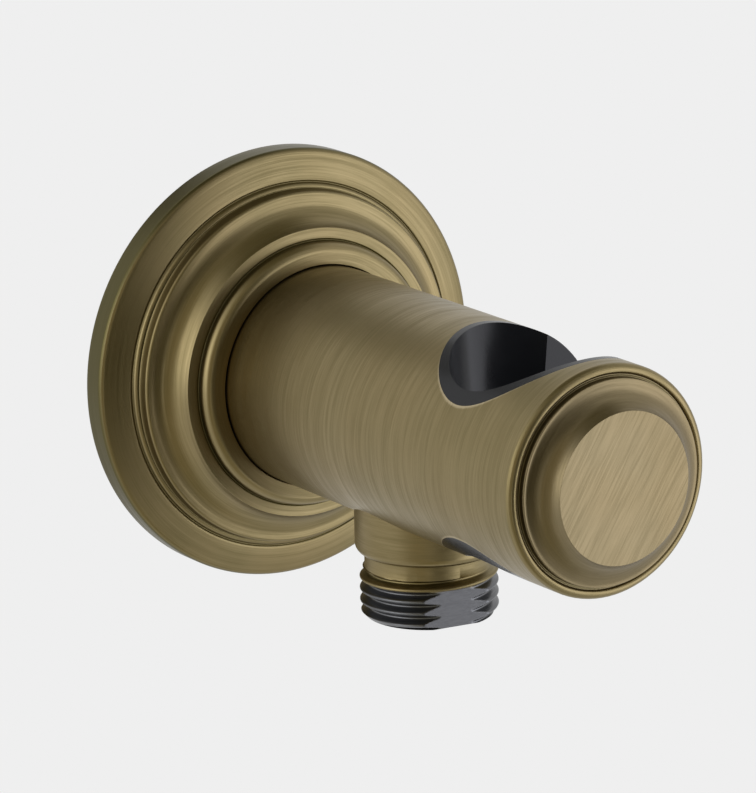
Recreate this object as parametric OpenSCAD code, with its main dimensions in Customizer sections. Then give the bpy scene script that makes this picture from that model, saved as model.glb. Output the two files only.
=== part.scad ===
// Wall outlet elbow with a hand-shower holder.
// The wall plane is y = 0. The barrel stands out along -Y, and the hose outlet points down along -Z.
// Turned pieces are drawn as half profiles of [radius, distance from the wall plane].

/* [Barrel] */
// Outside diameter of the barrel
barrel_d = 34.5; // [32:0.5:40]
// Distance from the wall plane to the front rim of the barrel
barrel_reach = 88; // [86:1:110]
// Width of the front rim, round the end cap
rim_w = 1.4; // [1.2:0.1:2]
// Rounding of the rim's outer edge
rim_round = 1; // [0.5:0.1:1]
// Width of the gap between the wall plane and the rear end of the barrel
barrel_lift = 1.5; // [1:0.5:3]
// Diameter of the socket that slides over the wall connector
socket_d = 22; // [21:0.5:23]
// Depth of that socket, measured from the wall plane
socket_depth = 28; // [27:1:29]
// Diameter of the water chamber
chamber_d = 18; // [16:1:18]

/* [Holder] */
// Metal left between the holder's bore and the pocket of the end cap
holder_front_wall = 1.9; // [1.5:0.1:4]
// Width of the side slot cut in the barrel
slot_w = 20.4; // [16:0.1:22]
// Wall of the liner along the slot
liner_wall = 1.1; // [0.8:0.1:1.6]
// Diameter of the tapered seat at the top of the barrel
seat_top_d = 25.4; // [22:0.1:25.6]
// Wall of the liner round the top of that seat
liner_mouth_wall = 1.3; // [1:0.1:2]
// Diameter of the tapered seat at the bottom of the barrel
seat_bottom_d = 21; // [19:0.1:22]

/* [End cap] */
// Depth of the pocket in the barrel that takes the cap
pocket_depth = 1.6; // [1.2:0.1:1.6]
// Diameter of the flat disc on the front of the cap
disc_d = 22.6; // [18:0.1:24]
// Distance that the disc stands in front of the barrel's rim
disc_lift = 3.9; // [3:0.1:5]

/* [Escutcheon] */
// Largest diameter of the escutcheon
flange_d = 67.8; // [62:0.2:76]
// Height of the escutcheon's outer wall
flange_edge_h = 4.1; // [3.6:0.1:5]
// Width of the hollow curve between the second tier and the ledge
cove_w = 5; // [3:0.1:7]
// Height of the second tier above the wall plane
tier_h = 7.3; // [6.5:0.1:8]
// Width of the ledge round the bead
ledge_w = 2; // [1.5:0.1:3]
// Height of the ledge above the wall plane
ledge_h = 11.15; // [10.5:0.05:13]
// Height of the whole escutcheon
flange_h = 13.4; // [13:0.1:15]

/* [Outlet] */
// Metal left between the outlet's collar and the holder's bore
outlet_web = 3.4; // [2:0.1:6]
// Diameter of the outlet's collar
collar_d = 22.2; // [22:0.1:24]
// Height of the collar below the underside of the barrel
collar_h = 3.65; // [2:0.05:6]
// Length of the outlet below its collar
outlet_l = 9.8; // [9:0.1:12]
// Outside diameter of the half-inch pipe thread
thread_d = 20.955; // [20.9:0.005:21]
// Distance of the milled flat from the outlet's axis
flat_reach = 8.93; // [8.8:0.01:10]
// Direction that the flat faces, turned from straight ahead
flat_turn = 8; // [-30:1:30]
// Width of the ledge in the outlet that the check valve rests on
valve_ledge_w = 0.9; // [0.5:0.1:1.5]

/* [Wall connector] */
// Length of thread that goes into the wall
connector_thread_l = 13; // [10:1:20]
// Length of the plug in front of the wall plane
connector_plug_l = 27; // [27:0.5:27.5]
// Size across the flats of the hexagonal key socket
key_size = 12; // [8:1:12]
// Distance of the grub screw from the wall plane
grub_reach = 8; // [6:0.5:10]

/* [Check valve] */
// Outside diameter of the valve housing
valve_d = 14.2; // [13.8:0.1:14.6]
// Width of the seat that the poppet closes on
valve_seat_w = 0.9; // [0.6:0.1:1.2]
// Distance that the poppet opens
valve_lift = 2.2; // [1.5:0.1:2.4]
// Diameter of the spring wire
spring_wire_d = 0.45; // [0.35:0.05:0.5]
// Number of free coils in the spring
spring_coils = 4; // [3:1:4]

/* [Hidden] */

// Colours
brass = [0.52, 0.45, 0.30];
raw_brass = [0.80, 0.66, 0.36];
rubber = [0.10, 0.10, 0.10];
black_plastic = [0.06, 0.06, 0.07];
white_plastic = [0.92, 0.92, 0.90];
steel = [0.72, 0.73, 0.75];

// Fits and clearances
press_gap = 0.02;
plug_gap = 0.10;
slide_gap = 0.30;
ring_gap = 0.05;
bore_overrun = 1;

// Barrel
barrel_r = barrel_d / 2;
socket_r = socket_d / 2;
chamber_r = chamber_d / 2;
rear_chamfer = 0.6;
pocket_r = barrel_r - rim_w;
pocket_floor = barrel_reach - pocket_depth;
grub_r = 2.5;

// Holder
seat_mouth_r = seat_top_d / 2;
seat_foot_r = seat_bottom_d / 2;
holder_r = seat_mouth_r + liner_mouth_wall;
holder_reach = pocket_floor - holder_front_wall - holder_r;
chamber_end = holder_reach - holder_r - 6.5;

// End cap
cap_r = pocket_r - press_gap;
cap_seat_h = 0.7;
cap_ring_r = cap_r - 0.57;
cap_ring_reach = barrel_reach + 0.7;
cap_ring_w = 0.4;
disc_r = disc_d / 2;
disc_reach = barrel_reach + disc_lift;
arris = 0.12;

// Escutcheon
flange_r = flange_d / 2;
flange_bore_r = barrel_r + slide_gap;
flange_edge_r = 0.7;
flange_face_h = flange_edge_h + 1;
tier_foot_h = flange_face_h + 0.5;
foot_groove_h = flange_face_h - 0.4;
bead_r = 1.65;
bead_centre_r = flange_bore_r + 1.55;
bead_centre_h = flange_h - bead_r;
bead_outer_r = bead_centre_r + bead_r;
ledge_r = bead_outer_r + ledge_w;
tier_r = ledge_r + cove_w;
shell_t = 2;
neck_back_h = 5;
grip_ring_r = 0.9;
grip_ring_h = 9;
seal_outer_r = flange_r - 1.3;
seal_w = 2.2;
seal_h = 1.6;

// Outlet
collar_r = collar_d / 2;
collar_drop = barrel_r + collar_h;
outlet_drop = collar_drop + outlet_l;
outlet_reach = holder_reach - holder_r - outlet_web - collar_r;
thread_r = thread_d / 2;
thread_root_r = thread_r - 1.162;
nipple_seat = barrel_r - 5.05;
spigot_r = chamber_r - plug_gap;
spigot_top = nipple_seat - 6.2;
collar_chamfer = 1.4;
relief_r = 9.7;
relief_drop = collar_drop + 2.2;
groove_drop = relief_drop + 0.7;
thread_lead = 0.8;
flat_top = groove_drop - 0.1;
nipple_ring_r = 0.75;

// Wall connector
connector_plug_r = socket_r - plug_gap;
connector_stop_r = connector_plug_r + 2.6;
connector_stop_h = 1.2;
connector_bore_r = 5.5;
connector_chamfer = 1;
key_corner_r = key_size / 2 / cos(30);
key_depth = 10;
seal_cord_r = 0.9;
seal_floor_r = socket_r - 2 * seal_cord_r;
seal_gland_w = 2.3;
seal_reaches = [15, 21];
vee_depth = 1.4;

// Check valve, with heights measured below the barrel's axis
valve_r = valve_d / 2;
valve_bore_r = valve_r + ring_gap;
valve_wall = 1.1;
valve_top = spigot_top + 1.2;
valve_bottom = valve_top + 11.6;
valve_seat = valve_top + 1.4;
outlet_bore_r = valve_r - valve_ledge_w;
poppet_gap = 0.9;
valve_port_r = valve_r - valve_wall - poppet_gap - valve_seat_w;
clip_cord_r = 0.5;
clip_h = valve_top - clip_cord_r;
clip_gap_angle = 60;
washer_t = 1;
poppet_head_r = valve_port_r + valve_seat_w;
poppet_nose_r = 2.2;
poppet_head_t = 1;
stem_r = 1.4;
head_back = valve_seat + washer_t + poppet_head_t;
guide_top = head_back + valve_lift + 2.8;
guide_bottom = guide_top + 2;
guide_hub_r = 2.9;
guide_rim_w = 1;
guide_spokes = 3;
spoke_w = 1.2;
stem_end = guide_bottom + 0.3;
spring_r = 2.3;
spring_wire_r = spring_wire_d / 2;
spring_free = guide_top - head_back;
spring_pitch = spring_free / spring_coils;
valve_ring_r = 0.4;
valve_ring_h = valve_top + 4;

// Stands a turned piece up along the barrel
module along_barrel() {
    rotate([90, 0, 0]) children();
}

// Stands a turned piece down along the outlet
module along_outlet() {
    translate([0, -outlet_reach, 0]) rotate([180, 0, 0]) children();
}

// A rod or a bore from one distance to another
module rod(r, from, to) {
    translate([0, 0, from]) cylinder(r = r, h = to - from, $fn = 96);
}

// A ring of round cord
module cord_ring(ring_r, cord_r, h) {
    translate([0, 0, h]) rotate_extrude($fn = 96) translate([ring_r, 0]) circle(r = cord_r, $fn = 32);
}

// A solid turned from a half profile
module turned(profile) {
    rotate_extrude($fn = 120) polygon(profile);
}

// Points of an arc, from one angle to another
function arc(centre, r, from, to, steps = 10) = [
    for (i = [0:steps])
        let (a = from + (to - from) * i / steps)
            [centre[0] + r * cos(a), centre[1] + r * sin(a)]
];

// Points of a hollow curve that starts level at its foot and steepens towards its top
function cove(foot, top, sweep = 75, steps = 10) = [
    for (i = [0:steps])
        let (a = sweep * i / steps)
            [
                foot[0] + (top[0] - foot[0]) * sin(a) / sin(sweep),
                foot[1] + (top[1] - foot[1]) * (1 - cos(a)) / (1 - cos(sweep))
            ]
];

// The holder's outline in plan: a round bore that a slot opens to the side
module holder_plan(r, w) {
    circle(r = r, $fn = 96);
    translate([0, -w / 2]) square([barrel_r + bore_overrun, w]);
}

module barrel_blank() {
    lip_r = rim_w - rim_round;
    turned(concat(
        [[0, barrel_lift], [barrel_r - rear_chamfer, barrel_lift], [barrel_r, barrel_lift + rear_chamfer]],
        arc([barrel_r - rim_round, barrel_reach - rim_round], rim_round, 0, 90),
        arc([pocket_r + lip_r, barrel_reach - lip_r], lip_r, 108, 180, 4),
        [[pocket_r, pocket_floor], [0, pocket_floor]]
    ));
}

module barrel_waterway() {
    rod(socket_r, 0, socket_depth);
    rod(chamber_r, socket_depth - bore_overrun, chamber_end);
    translate([0, 0, grub_reach]) rotate([90, 0, 0])
        cylinder(r = grub_r, h = barrel_d, $fn = 48);
}

module barrel_outlet_port() {
    rod(chamber_r, 0, nipple_seat);
    rod(collar_r + press_gap, nipple_seat, barrel_d);
    rod(spigot_r + 2 * nipple_ring_r, nipple_seat - 2 * nipple_ring_r, nipple_seat + bore_overrun);
}

module barrel() {
    color(brass) difference() {
        along_barrel() barrel_blank();
        along_barrel() barrel_waterway();
        along_outlet() barrel_outlet_port();
        translate([0, -holder_reach, -barrel_d])
            linear_extrude(2 * barrel_d) holder_plan(holder_r, slot_w);
    }
}

module end_cap() {
    color(brass) along_barrel() turned(concat(
        [[0, pocket_floor], [cap_r - 0.4, pocket_floor], [cap_r, pocket_floor + 0.4]],
        [[cap_r, pocket_floor + cap_seat_h], [cap_ring_r, pocket_floor + cap_seat_h]],
        [[cap_ring_r, cap_ring_reach - arris], [cap_ring_r - arris, cap_ring_reach]],
        cove([cap_ring_r - cap_ring_w, cap_ring_reach], [disc_r, disc_reach - arris]),
        [[disc_r - arris, disc_reach], [0, disc_reach]]
    ));
}

// The tapered seat for the handset, and the slot that its hose passes through
module holder_cavity() {
    translate([0, 0, -barrel_r]) cylinder(r1 = seat_foot_r, r2 = seat_mouth_r, h = 2 * barrel_r, $fn = 96);
    translate([0, 0, -barrel_r - bore_overrun]) cylinder(r = seat_foot_r, h = 2, $fn = 96);
    translate([0, 0, barrel_r - 0.01]) cylinder(r = seat_mouth_r, h = 2, $fn = 96);
    translate([0, -slot_w / 2 + liner_wall, -barrel_d])
        cube([barrel_r + 2 * bore_overrun, slot_w - 2 * liner_wall, 2 * barrel_d]);
}

module holder_liner() {
    color(black_plastic) intersection() {
        translate([0, -holder_reach, 0]) difference() {
            translate([0, 0, -barrel_r]) linear_extrude(2 * barrel_r)
                holder_plan(holder_r - press_gap, slot_w - 2 * press_gap);
            holder_cavity();
        }
        along_barrel() rod(barrel_r, barrel_lift, barrel_reach);
    }
}

// The escutcheon's face, from the rear edge to the bead round the barrel
function flange_face() = concat(
    [[flange_r, 0]],
    arc([flange_r - flange_edge_r, flange_edge_h - flange_edge_r], flange_edge_r, 0, 76, 6),
    [[tier_r + 1.4, flange_face_h], [tier_r + 1.05, foot_groove_h], [tier_r + 0.8, foot_groove_h]],
    [[tier_r + 0.7, tier_foot_h - 0.4], [tier_r + 0.45, tier_foot_h - 0.1], [tier_r + 0.25, tier_foot_h]],
    [[tier_r, tier_h - arris], [tier_r - arris, tier_h]],
    cove([tier_r - 0.4, tier_h], [ledge_r, ledge_h]),
    [[bead_outer_r + 0.3, ledge_h + 0.2], [bead_outer_r + 0.2, ledge_h], [bead_outer_r, ledge_h]],
    arc([bead_centre_r, bead_centre_h], bead_r, 0, 90),
    [[flange_bore_r, flange_h]]
);

// The escutcheon's hollow back, from the bore out to the wall seal's seat
function flange_back() = [
    [flange_bore_r, neck_back_h],
    [flange_bore_r + shell_t + 1.5, neck_back_h],
    [flange_bore_r + shell_t + 1.5, ledge_h - shell_t - 0.5],
    [ledge_r - 0.7, ledge_h - shell_t - 0.5],
    [tier_r - shell_t - 1.8, tier_h - 0.9],
    [tier_r - shell_t, tier_h - shell_t],
    [tier_r - shell_t, flange_face_h - shell_t],
    [seal_outer_r - seal_w - 1, flange_face_h - shell_t],
    [seal_outer_r - seal_w - 1, seal_h],
    [seal_outer_r, seal_h],
    [seal_outer_r, 0]
];

module escutcheon() {
    color(brass) along_barrel() difference() {
        turned(concat(flange_face(), flange_back()));
        cord_ring(flange_bore_r + grip_ring_r - slide_gap + ring_gap, grip_ring_r, grip_ring_h);
    }
}

module escutcheon_grip_ring() {
    color(rubber) along_barrel()
        cord_ring(barrel_r + ring_gap + grip_ring_r, grip_ring_r, grip_ring_h);
}

module wall_seal() {
    color(rubber) along_barrel() difference() {
        rod(seal_outer_r - press_gap, 0, seal_h);
        rod(seal_outer_r - seal_w, -bore_overrun, seal_h + bore_overrun);
    }
}

module connector_blank() {
    turned([
        [0, -connector_thread_l],
        [thread_r - connector_chamfer, -connector_thread_l],
        [thread_r, connector_chamfer - connector_thread_l],
        [thread_r, 0],
        [connector_stop_r, 0],
        [connector_stop_r, connector_stop_h],
        [connector_plug_r, connector_stop_h],
        [connector_plug_r, grub_reach - vee_depth],
        [connector_plug_r - vee_depth, grub_reach],
        [connector_plug_r, grub_reach + vee_depth],
        [connector_plug_r, connector_plug_l - connector_chamfer],
        [connector_plug_r - connector_chamfer, connector_plug_l],
        [0, connector_plug_l]
    ]);
}

// The groove that holds a seal on the plug
module seal_gland(reach) {
    translate([0, 0, reach - seal_gland_w / 2]) difference() {
        cylinder(r = socket_r + bore_overrun, h = seal_gland_w, $fn = 96);
        translate([0, 0, -bore_overrun])
            cylinder(r = seal_floor_r, h = seal_gland_w + 2 * bore_overrun, $fn = 96);
    }
}

module wall_connector() {
    color(raw_brass) along_barrel() difference() {
        connector_blank();
        rod(connector_bore_r, -connector_thread_l - bore_overrun, connector_plug_l);
        translate([0, 0, connector_plug_l - key_depth])
            cylinder(r = key_corner_r, h = key_depth + bore_overrun, $fn = 6);
        for (reach = seal_reaches) seal_gland(reach);
    }
}

module connector_seal(index) {
    color(rubber) along_barrel() cord_ring(seal_floor_r + seal_cord_r, seal_cord_r, seal_reaches[index]);
}

module connector_seal_rear() {
    connector_seal(0);
}

module connector_seal_front() {
    connector_seal(1);
}

module grub_screw() {
    tip_r = 0.3;
    point_l = grub_r - press_gap - tip_r;
    body_top = connector_plug_r - vee_depth + 0.35;
    body_end = barrel_r - 0.6;
    socket_corner_r = 1.25 / cos(30);
    socket_l = 2.5;
    color(steel) along_barrel() translate([0, 0, grub_reach]) rotate([90, 0, 0]) difference() {
        turned([
            [0, body_top],
            [tip_r, body_top],
            [grub_r - press_gap, body_top + point_l],
            [grub_r - press_gap, body_end],
            [0, body_end]
        ]);
        translate([0, 0, body_end - socket_l])
            cylinder(r = socket_corner_r, h = socket_l + bore_overrun, $fn = 6);
    }
}

module nipple_blank() {
    turned(concat(
        [[0, spigot_top], [spigot_r - 0.4, spigot_top], [spigot_r, spigot_top + 0.4]],
        [[spigot_r, nipple_seat], [collar_r, nipple_seat]],
        arc([collar_r - collar_chamfer, collar_drop - collar_chamfer], collar_chamfer, 0, 90, 6),
        [[relief_r, collar_drop], [relief_r, relief_drop]],
        [[thread_root_r, relief_drop + 0.3], [thread_root_r, groove_drop]],
        [[thread_r, groove_drop + 0.5]],
        [[thread_r, outlet_drop - thread_lead], [thread_r - thread_lead, outlet_drop]],
        [[0, outlet_drop]]
    ));
}

module outlet_nipple() {
    color(brass) along_outlet() difference() {
        nipple_blank();
        rod(outlet_bore_r, spigot_top, outlet_drop + bore_overrun);
        rod(valve_bore_r, spigot_top - bore_overrun, valve_bottom);
        cord_ring(valve_bore_r, clip_cord_r, clip_h);
        rotate([0, 0, 180 + flat_turn]) translate([-thread_d, -flat_reach - thread_d, flat_top])
            cube([2 * thread_d, thread_d, outlet_drop]);
    }
}

module nipple_seal() {
    color(rubber) along_outlet()
        cord_ring(spigot_r + nipple_ring_r, nipple_ring_r, nipple_seat - nipple_ring_r);
}

module valve_housing() {
    color(white_plastic) along_outlet() difference() {
        rod(valve_r, valve_top, valve_bottom);
        rod(valve_port_r, valve_top - bore_overrun, valve_bottom);
        rod(valve_r - valve_wall, valve_seat, valve_bottom + bore_overrun);
        cord_ring(valve_bore_r - valve_ring_r, valve_ring_r, valve_ring_h);
    }
}

module valve_seal() {
    color(rubber) along_outlet() cord_ring(valve_bore_r - valve_ring_r, valve_ring_r, valve_ring_h);
}

// A round-wire snap ring with a gap
module valve_clip() {
    color(steel) along_outlet() translate([0, 0, clip_h])
        rotate([0, 0, clip_gap_angle / 2]) rotate_extrude(angle = 360 - clip_gap_angle, $fn = 96)
            translate([valve_bore_r, 0]) circle(r = clip_cord_r, $fn = 32);
}

module valve_guide() {
    rim_r = valve_r - valve_wall - press_gap;
    color(white_plastic) along_outlet() difference() {
        union() {
            rod(guide_hub_r, guide_top, guide_bottom);
            difference() {
                rod(rim_r, guide_top, guide_bottom);
                rod(rim_r - guide_rim_w, guide_top - bore_overrun, guide_bottom + bore_overrun);
            }
            for (i = [0:guide_spokes - 1]) rotate([0, 0, i * 360 / guide_spokes])
                translate([0, -spoke_w / 2, guide_top])
                    cube([rim_r - guide_rim_w / 2, spoke_w, guide_bottom - guide_top]);
        }
        rod(stem_r + ring_gap, guide_top - bore_overrun, guide_bottom + bore_overrun);
    }
}

// A level slice through the rising wire, which the twist turns into one free coil after another
module spring_slice() {
    half_turn = 360 * spring_wire_r / spring_pitch;
    steps = 5;
    function half_width(a) = sqrt(max(0, pow(spring_wire_r, 2) - pow(a * spring_pitch / 360, 2)));
    step = half_turn / steps;
    outer = [for (i = [-steps:steps]) let (a = i * step) [a, spring_r + half_width(a)]];
    inner = [for (i = [steps - 1:-1:1 - steps]) let (a = i * step) [a, spring_r - half_width(a)]];
    polygon([for (p = concat(outer, inner)) [p[1] * cos(p[0]), p[1] * sin(p[0])]]);
}

module valve_spring() {
    color(steel) along_outlet() translate([0, 0, head_back])
        linear_extrude(spring_free, twist = 360 * spring_coils, slices = 20 * spring_coils)
            spring_slice();
}

module valve_poppet() {
    color(white_plastic) along_outlet() turned([
        [0, valve_seat - 1],
        [poppet_nose_r - 0.8, valve_seat - 1],
        [poppet_nose_r, valve_seat - 0.3],
        [poppet_nose_r, valve_seat + washer_t],
        [poppet_head_r, valve_seat + washer_t],
        [poppet_head_r, head_back - 0.3],
        [poppet_head_r - 0.3, head_back],
        [stem_r, head_back],
        [stem_r, stem_end - 0.3],
        [stem_r - 0.3, stem_end],
        [0, stem_end]
    ]);
}

module poppet_washer() {
    color(rubber) along_outlet() difference() {
        rod(poppet_head_r - 0.2, valve_seat + press_gap, valve_seat + washer_t);
        rod(poppet_nose_r, valve_seat - bore_overrun, valve_seat + washer_t + bore_overrun);
    }
}

barrel();
end_cap();
holder_liner();
escutcheon();
escutcheon_grip_ring();
wall_seal();
wall_connector();
connector_seal_rear();
connector_seal_front();
grub_screw();
outlet_nipple();
nipple_seal();
valve_housing();
valve_seal();
valve_clip();
valve_guide();
valve_spring();
valve_poppet();
poppet_washer();
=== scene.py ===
"""Wall outlet elbow with a hand-shower holder, in relieved antique brass.

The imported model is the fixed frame: the wall plane is y = 0, the barrel stands out along -Y, the hose
outlet points down along -Z and the holder's slot opens towards +X. Lengths are in metres.
"""

import logging
import math
from dataclasses import dataclass, field
from enum import Enum

import bmesh
import bpy
from mathutils import Matrix, Vector


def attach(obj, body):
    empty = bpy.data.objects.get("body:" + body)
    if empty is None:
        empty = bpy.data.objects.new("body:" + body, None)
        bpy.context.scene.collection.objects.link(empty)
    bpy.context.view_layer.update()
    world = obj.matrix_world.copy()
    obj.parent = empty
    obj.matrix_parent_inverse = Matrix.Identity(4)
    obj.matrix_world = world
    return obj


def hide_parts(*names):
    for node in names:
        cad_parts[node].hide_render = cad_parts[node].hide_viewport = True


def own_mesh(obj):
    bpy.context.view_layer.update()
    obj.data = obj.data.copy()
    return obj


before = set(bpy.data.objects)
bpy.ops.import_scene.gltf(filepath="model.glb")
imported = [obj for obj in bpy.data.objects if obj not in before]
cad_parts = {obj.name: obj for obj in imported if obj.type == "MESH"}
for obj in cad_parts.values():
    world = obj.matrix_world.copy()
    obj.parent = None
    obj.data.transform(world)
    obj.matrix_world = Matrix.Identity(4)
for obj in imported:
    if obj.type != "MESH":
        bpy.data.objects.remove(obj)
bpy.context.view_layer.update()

MM = 0.001
OUTLET_REACH = 42.0 * MM
DISC_REACH = 91.9 * MM
STUDIO_MIDDLE = Vector((0.0, -0.04, 0.0))
LOG = logging.getLogger("wall_outlet")

Colour = tuple[float, float, float]
Outline = list[tuple[float, float]]


class Lay(Enum):
    """The direction in which a surface was brushed."""

    ROUND_BARREL = "round the barrel's axis"
    ROUND_OUTLET = "round the outlet's axis"
    CAP = "straight across the front disc, and round the barrel's axis beside it"


class NodeTree:
    """A small helper that adds nodes to a shader tree and joins their sockets."""

    def __init__(self, tree: bpy.types.NodeTree) -> None:
        """Keeps the tree."""
        self.tree = tree

    def add(self, kind: str, **settings: object) -> bpy.types.Node:
        """Adds a node.

        Args:
            kind: The node's type name.
            settings: Attributes to set on the node.

        Returns:
            The new node.
        """
        node = self.tree.nodes.new(kind)
        for name, value in settings.items():
            setattr(node, name, value)
        return node

    def put(self, target: bpy.types.NodeSocket, value: object) -> None:
        """Feeds an input socket from a value or from another node's output.

        Args:
            target: The input socket.
            value: An output socket to join, or a value to set.
        """
        if isinstance(value, bpy.types.NodeSocket):
            self.tree.links.new(value, target)
        else:
            target.default_value = value

    def math(self, operation: str, *values: object) -> bpy.types.NodeSocket:
        """Adds a Math node.

        Args:
            operation: The operation's name.
            values: A number or an output socket for each input.

        Returns:
            The result.
        """
        node = self.add("ShaderNodeMath", operation=operation)
        for socket, value in zip(node.inputs, values):
            self.put(socket, value)
        return node.outputs[0]

    def vector(self, operation: str, *values: object) -> bpy.types.Node:
        """Adds a Vector Math node.

        Args:
            operation: The operation's name.
            values: A vector or an output socket for each input.

        Returns:
            The node, whose outputs hold the result.
        """
        node = self.add("ShaderNodeVectorMath", operation=operation)
        for socket, value in zip(node.inputs, values):
            self.put(socket, value)
        return node

    def axis(self, vector: bpy.types.NodeSocket, index: int) -> bpy.types.NodeSocket:
        """Adds a node that takes one part out of a vector.

        Args:
            vector: The vector.
            index: 0, 1 or 2 for X, Y or Z.

        Returns:
            The part.
        """
        split = self.add("ShaderNodeSeparateXYZ")
        self.put(split.inputs[0], vector)
        return split.outputs[index]

    def scale(self, vector: bpy.types.NodeSocket, factor: object) -> bpy.types.NodeSocket:
        """Scales a vector.

        Args:
            vector: The vector.
            factor: A number or an output socket.

        Returns:
            The scaled vector.
        """
        node = self.add("ShaderNodeVectorMath", operation="SCALE")
        self.put(node.inputs["Vector"], vector)
        self.put(node.inputs["Scale"], factor)
        return node.outputs[0]

    def noise(self, vector: object, scale: float, detail: float = 2.0, w: object = None,
              roughness: float = 0.5) -> bpy.types.NodeSocket:
        """Adds a noise texture, in four dimensions where a fourth coordinate is given.

        Args:
            vector: The coordinates.
            scale: Features per unit of the coordinates.
            detail: Number of octaves.
            w: The fourth coordinate.
            roughness: How strong the finer octaves are.

        Returns:
            The noise value.
        """
        node = self.add("ShaderNodeTexNoise", noise_dimensions="3D" if w is None else "4D")
        self.put(node.inputs["Vector"], vector)
        if w is not None:
            self.put(node.inputs["W"], w)
        for label, value in (("Scale", scale), ("Detail", detail), ("Roughness", roughness)):
            node.inputs[label].default_value = value
        return node.outputs["Fac"]

    def ramp(self, value: object, low: float, high: float, to_low: float = 0.0,
             to_high: float = 1.0) -> bpy.types.NodeSocket:
        """Maps a range smoothly onto another and holds it there.

        Args:
            value: The value to map.
            low: Where the range starts.
            high: Where the range ends.
            to_low: The result at the start.
            to_high: The result at the end.

        Returns:
            The mapped value.
        """
        node = self.add("ShaderNodeMapRange", interpolation_type="SMOOTHSTEP")
        self.put(node.inputs["Value"], value)
        limits = {"From Min": low, "From Max": high, "To Min": to_low, "To Max": to_high}
        for label, limit in limits.items():
            node.inputs[label].default_value = limit
        return node.outputs["Result"]

    def surface_point(self) -> bpy.types.NodeSocket:
        """Adds a node that gives the surface point in the object's own frame."""
        return self.add("ShaderNodeTexCoord").outputs["Object"]

    def between(self, factor: object, low: object, high: object) -> bpy.types.NodeSocket:
        """Mixes two numbers.

        Args:
            factor: How much of the second number counts.
            low: The first number.
            high: The second number.

        Returns:
            The mixed number.
        """
        node = self.add("ShaderNodeMix", data_type="FLOAT")
        for index, value in ((0, factor), (2, low), (3, high)):
            self.put(node.inputs[index], value)
        return node.outputs[0]

    def bump(self, shader: bpy.types.Node, height: bpy.types.NodeSocket, depth: float) -> None:
        """Adds a Bump node and feeds the shader's normal from it.

        Args:
            shader: The shader.
            height: The height, from 0 to 1.
            depth: How deep a height of 1 is.
        """
        node = self.add("ShaderNodeBump")
        node.inputs["Strength"].default_value = 1.0
        node.inputs["Distance"].default_value = depth
        self.put(node.inputs["Height"], height)
        self.put(shader.inputs["Normal"], node.outputs["Normal"])

    def blend(self, factor: object, low: object, high: object) -> bpy.types.NodeSocket:
        """Blends two colours.

        Args:
            factor: How much of the second colour shows.
            low: The first colour.
            high: The second colour.

        Returns:
            The blended colour.
        """
        node = self.add("ShaderNodeMix", data_type="RGBA")
        self.put(node.inputs[0], factor)
        for socket, colour in ((node.inputs[6], low), (node.inputs[7], high)):
            self.put(socket, (*colour, 1.0) if isinstance(colour, tuple) else colour)
        return node.outputs[2]


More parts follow.
